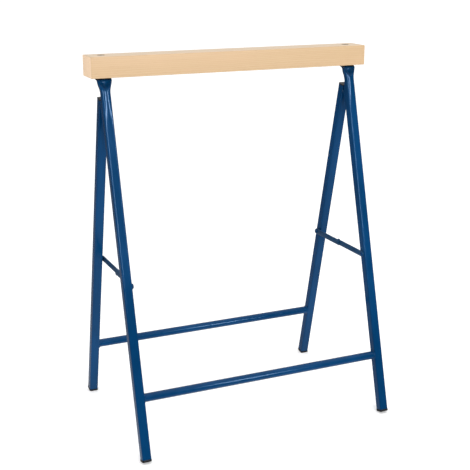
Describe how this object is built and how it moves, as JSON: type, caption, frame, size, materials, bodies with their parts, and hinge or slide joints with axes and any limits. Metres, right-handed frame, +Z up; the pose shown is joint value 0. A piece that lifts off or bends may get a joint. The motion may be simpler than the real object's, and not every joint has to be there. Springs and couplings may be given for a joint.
{
  "type": "folding sawhorse",
  "caption": "Folding steel sawhorse: square-tube legs, round crossbars and a wooden beam on top, held open by hinged flat stays that fold upwards.",
  "frame": {"origin": "On the floor, in the middle of the standing sawhorse.", "axes": "+Z is up, the beam runs along X, and the front legs, which carry the beam, lean towards -Y."},
  "size_m": [0.585, 0.376, 0.75],
  "materials": {
    "wood": "satin",
    "paint": "gloss",
    "plastic": "satin",
    "steel": "satin",
    "stay": "gloss"
  },
  "bodies": {
    "front_frame": {"beam": "wood", "beam_bolt_left": "steel", "beam_nut_left": "steel", "beam_washer_left": "steel", "front_leg_left": "paint", "front_foot_left": "plastic", "front_hinge_leaf_left": "paint", "hinge_pin_left": "paint", "front_stay_rivet_left": "paint", "beam_bolt_right": "steel", "beam_nut_right": "steel", "beam_washer_right": "steel", "front_leg_right": "paint", "front_foot_right": "plastic", "front_hinge_leaf_right": "paint", "hinge_pin_right": "paint", "front_stay_rivet_right": "paint", "front_crossbar": "paint"},
    "rear_frame": {"rear_crossbar": "paint", "rear_leg_left": "paint", "rear_foot_left": "plastic", "rear_leg_cap_left": "plastic", "rear_hinge_leaf_left": "paint", "stay_spacer_left": "paint", "rear_stay_rivet_left": "paint", "rear_leg_right": "paint", "rear_foot_right": "plastic", "rear_leg_cap_right": "plastic", "rear_hinge_leaf_right": "paint", "stay_spacer_right": "paint", "rear_stay_rivet_right": "paint"},
    "front_stay_left": {"front_stay_link_left": "stay"},
    "rear_stay_left": {"rear_stay_link_left": "stay", "elbow_rivet_left": "stay"},
    "front_stay_right": {"front_stay_link_right": "stay"},
    "rear_stay_right": {"rear_stay_link_right": "stay", "elbow_rivet_right": "stay"}
  },
  "joints": [
    {"name": "frame_fold", "type": "hinge", "parent": "front_frame", "child": "rear_frame", "pos_m": [0, 0.00968, 0.65464], "axis": [-1, 0, 0], "range_deg": [0, 28.6]},
    {"name": "front_stay_turn_left", "type": "hinge", "parent": "front_frame", "child": "front_stay_left", "pos_m": [-0.2532, -0.09174, 0.326], "axis": [1, 0, 0], "range_deg": [0, 73.99]},
    {"name": "rear_stay_turn_left", "type": "hinge", "parent": "rear_frame", "child": "rear_stay_left", "pos_m": [-0.2509, 0.10123, 0.326], "axis": [-1, 0, 0], "range_deg": [0, 62.7]},
    {"name": "front_stay_turn_right", "type": "hinge", "parent": "front_frame", "child": "front_stay_right", "pos_m": [0.2532, -0.09174, 0.326], "axis": [1, 0, 0], "range_deg": [0, 73.99]},
    {"name": "rear_stay_turn_right", "type": "hinge", "parent": "rear_frame", "child": "rear_stay_right", "pos_m": [0.2509, 0.10123, 0.326], "axis": [-1, 0, 0], "range_deg": [0, 62.7]}
  ],
  "couplings": [
    {"joint": "front_stay_turn_left", "follows": "frame_fold", "ratio": 2.5866},
    {"joint": "rear_stay_turn_left", "follows": "frame_fold", "ratio": 2.1916},
    {"joint": "front_stay_turn_right", "follows": "frame_fold", "ratio": 2.5866},
    {"joint": "rear_stay_turn_right", "follows": "frame_fold", "ratio": 2.1916}
  ]
}
